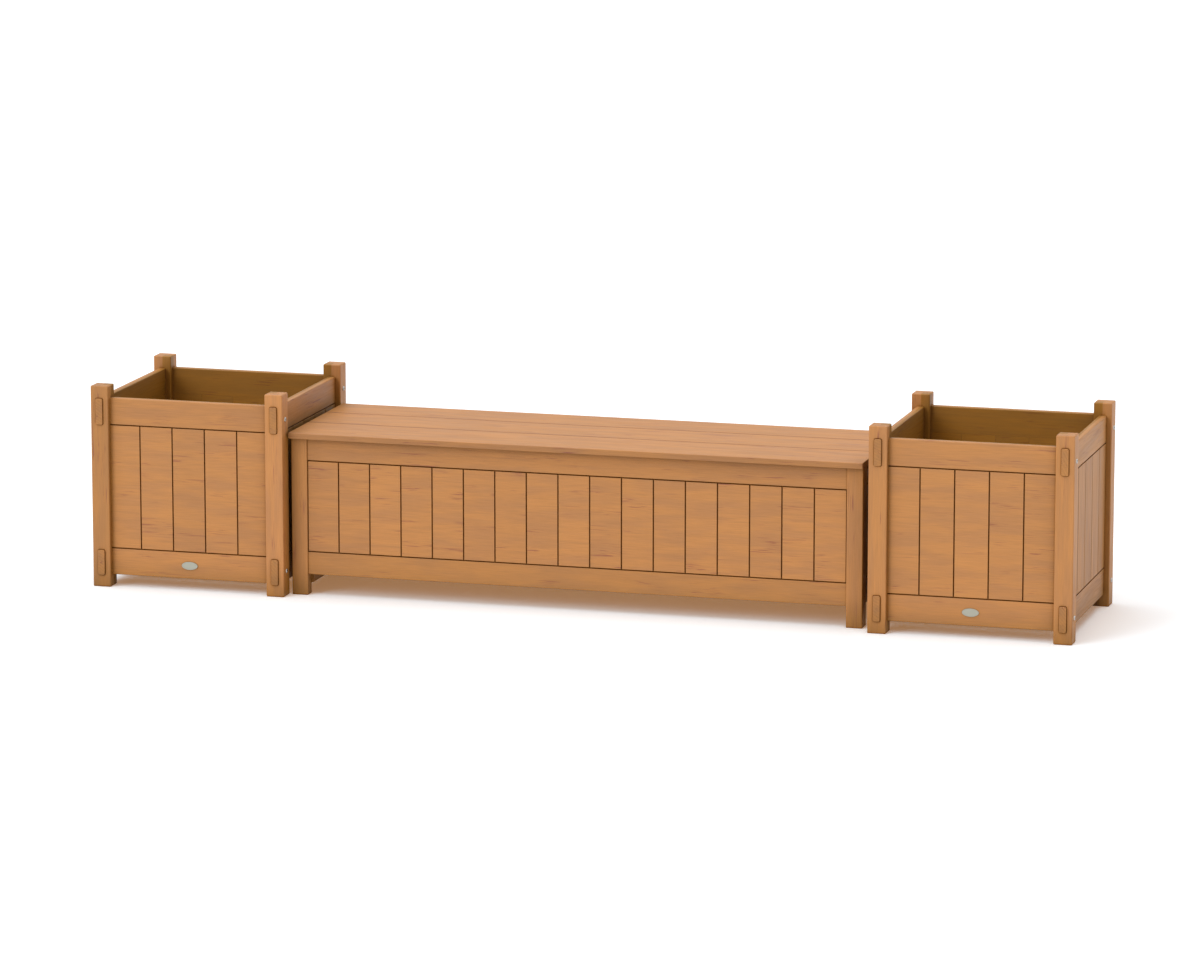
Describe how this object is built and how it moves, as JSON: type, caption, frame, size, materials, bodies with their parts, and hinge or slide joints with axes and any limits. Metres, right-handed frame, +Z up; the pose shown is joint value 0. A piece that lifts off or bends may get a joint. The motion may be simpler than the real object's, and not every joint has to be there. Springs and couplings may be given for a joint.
{
  "type": "bench with planters",
  "caption": "Wooden storage bench with a hinged lid, standing between two square boarded planters on corner posts.",
  "frame": {"origin": "on the ground, at the middle of the whole set's length and depth", "axes": "+X along the bench to the right as seen from the front, +Y from the front to the back, +Z up"},
  "size_m": [2.49, 0.508, 0.508],
  "materials": {
    "post_wood": "planed softwood with a brown preservative stain",
    "rail_wood": "planed softwood with a brown preservative stain",
    "panel_wood": "planed softwood with a brown preservative stain",
    "lid_wood": "planed softwood with a brown preservative stain",
    "floor_wood": "sawn softwood with a brown preservative stain",
    "zinc_plated_steel": "zinc plated",
    "plate_metal": "satin"
  },
  "bodies": {
    "bench_and_planters": {"left_planter_post_front_left": "post_wood", "left_planter_post_front_right": "post_wood", "left_planter_post_back_left": "post_wood", "left_planter_post_back_right": "post_wood", "left_planter_front_top_rail": "rail_wood", "left_planter_front_bottom_rail": "rail_wood", "left_planter_back_top_rail": "rail_wood", "left_planter_back_bottom_rail": "rail_wood", "left_planter_side_top_rails": "rail_wood", "left_planter_side_bottom_rails": "rail_wood", "left_planter_front_boards": "panel_wood", "left_planter_back_boards": "panel_wood", "left_planter_side_boards": "panel_wood", "left_planter_floor_slats": "floor_wood", "left_planter_floor_bearers": "floor_wood", "right_planter_post_front_left": "post_wood", "right_planter_post_front_right": "post_wood", "right_planter_post_back_left": "post_wood", "right_planter_post_back_right": "post_wood", "right_planter_front_top_rail": "rail_wood", "right_planter_front_bottom_rail": "rail_wood", "right_planter_back_top_rail": "rail_wood", "right_planter_back_bottom_rail": "rail_wood", "right_planter_side_top_rails": "rail_wood", "right_planter_side_bottom_rails": "rail_wood", "right_planter_front_boards": "panel_wood", "right_planter_back_boards": "panel_wood", "right_planter_side_boards": "panel_wood", "right_planter_floor_slats": "floor_wood", "right_planter_floor_bearers": "floor_wood", "planter_frame_bolts": "zinc_plated_steel", "planter_insert_nuts": "zinc_plated_steel", "planter_oval_plates": "plate_metal", "bench_leg_front_left": "post_wood", "bench_leg_front_right": "post_wood", "bench_leg_back_left": "post_wood", "bench_leg_back_right": "post_wood", "bench_front_top_rail": "rail_wood", "bench_front_bottom_rail": "rail_wood", "bench_back_top_rail": "rail_wood", "bench_back_bottom_rail": "rail_wood", "bench_end_top_rails": "rail_wood", "bench_end_bottom_rails": "rail_wood", "bench_front_boards": "panel_wood", "bench_back_boards": "panel_wood", "bench_end_boards": "panel_wood", "bench_floor_boards": "floor_wood", "bench_floor_ledgers": "floor_wood", "bench_end_bearers": "floor_wood", "hinge_box_leaves": "zinc_plated_steel", "hinge_box_screws": "zinc_plated_steel", "hinge_pins": "zinc_plated_steel"},
    "lid": {"lid_front_board": "lid_wood", "lid_middle_board": "lid_wood", "lid_back_board": "lid_wood", "lid_battens": "floor_wood", "hinge_lid_leaves": "zinc_plated_steel", "hinge_lid_screws": "zinc_plated_steel", "lid_batten_screws": "zinc_plated_steel"}
  },
  "joints": [
    {"name": "lid_hinge", "type": "hinge", "parent": "bench_and_planters", "child": "lid", "pos_m": [-0.00755, 0.1941, 0.3917], "axis": [-1, 0, 0], "range_deg": [0, 95]}
  ]
}
